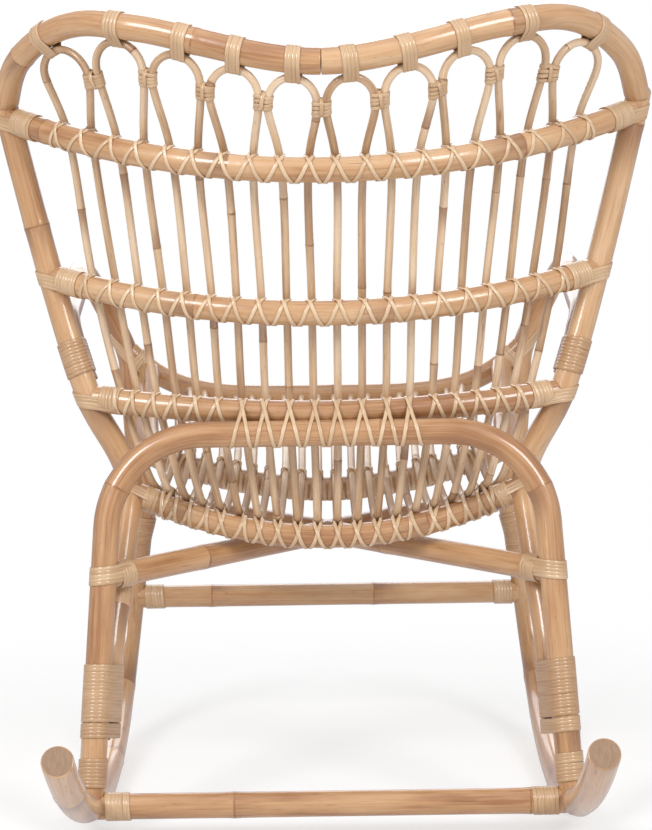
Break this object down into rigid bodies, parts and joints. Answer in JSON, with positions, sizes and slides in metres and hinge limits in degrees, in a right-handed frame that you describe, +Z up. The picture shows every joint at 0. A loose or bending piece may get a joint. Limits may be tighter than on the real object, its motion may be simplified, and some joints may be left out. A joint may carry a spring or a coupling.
{
  "type": "rattan rocking chair",
  "caption": "Rattan rocking chair with a winged back and seat of hooped canes, bent-pole arms and rockers, an arched rear leg and wound cane bindings.",
  "frame": {"origin": "on the floor, under the middle of the chair's bounding box", "axes": "+Z up, the sitter faces -Y, the sitter's left is +X"},
  "size_m": [0.7176, 0.8362, 0.8772],
  "materials": {
    "pole": "lacquered rattan pole",
    "cane": "lacquered thin rattan cane",
    "binding": "pale flat cane strip"
  },
  "bodies": {
    "root": {"front_seat_rail": "pole", "front_stretcher": "pole", "hoop_cane_01": "cane", "hoop_cane_02": "cane", "hoop_cane_03": "cane", "hoop_cane_04": "cane", "hoop_cane_05": "cane", "hoop_cane_06": "cane", "hoop_cane_07": "cane", "hoop_cane_08": "cane", "hoop_cane_09": "cane", "hoop_cane_10": "cane", "left_arm": "pole", "left_arm_lashing": "binding", "left_back_frame": "pole", "left_brace_binding": "binding", "left_cross_brace": "pole", "left_foot_binding": "binding", "left_front_stretcher_binding": "binding", "left_leg_lashing": "binding", "left_lower_back_rail_binding": "binding", "left_middle_back_rail_binding": "binding", "left_rear_seat_binding": "binding", "left_rear_stretcher_binding": "binding", "left_rocker": "pole", "left_splice_binding": "binding", "left_upper_back_rail_binding": "binding", "lower_back_rail": "pole", "middle_back_rail": "pole", "rear_leg_arch": "pole", "rear_seat_rail": "pole", "rear_stretcher": "pole", "right_arm": "pole", "right_arm_lashing": "binding", "right_back_frame": "pole", "right_brace_binding": "binding", "right_cross_brace": "pole", "right_foot_binding": "binding", "right_front_stretcher_binding": "binding", "right_leg_lashing": "binding", "right_lower_back_rail_binding": "binding", "right_middle_back_rail_binding": "binding", "right_rear_seat_binding": "binding", "right_rear_stretcher_binding": "binding", "right_rocker": "pole", "right_splice_binding": "binding", "right_upper_back_rail_binding": "binding", "seat_hoop": "pole", "top_tie_01": "binding", "top_tie_02": "binding", "top_tie_03": "binding", "top_tie_04": "binding", "top_tie_05": "binding", "top_tie_06": "binding", "top_tie_07": "binding", "top_tie_08": "binding", "top_tie_09": "binding", "top_tie_10": "binding", "upper_back_rail": "pole"}
  },
  "joints": []
}
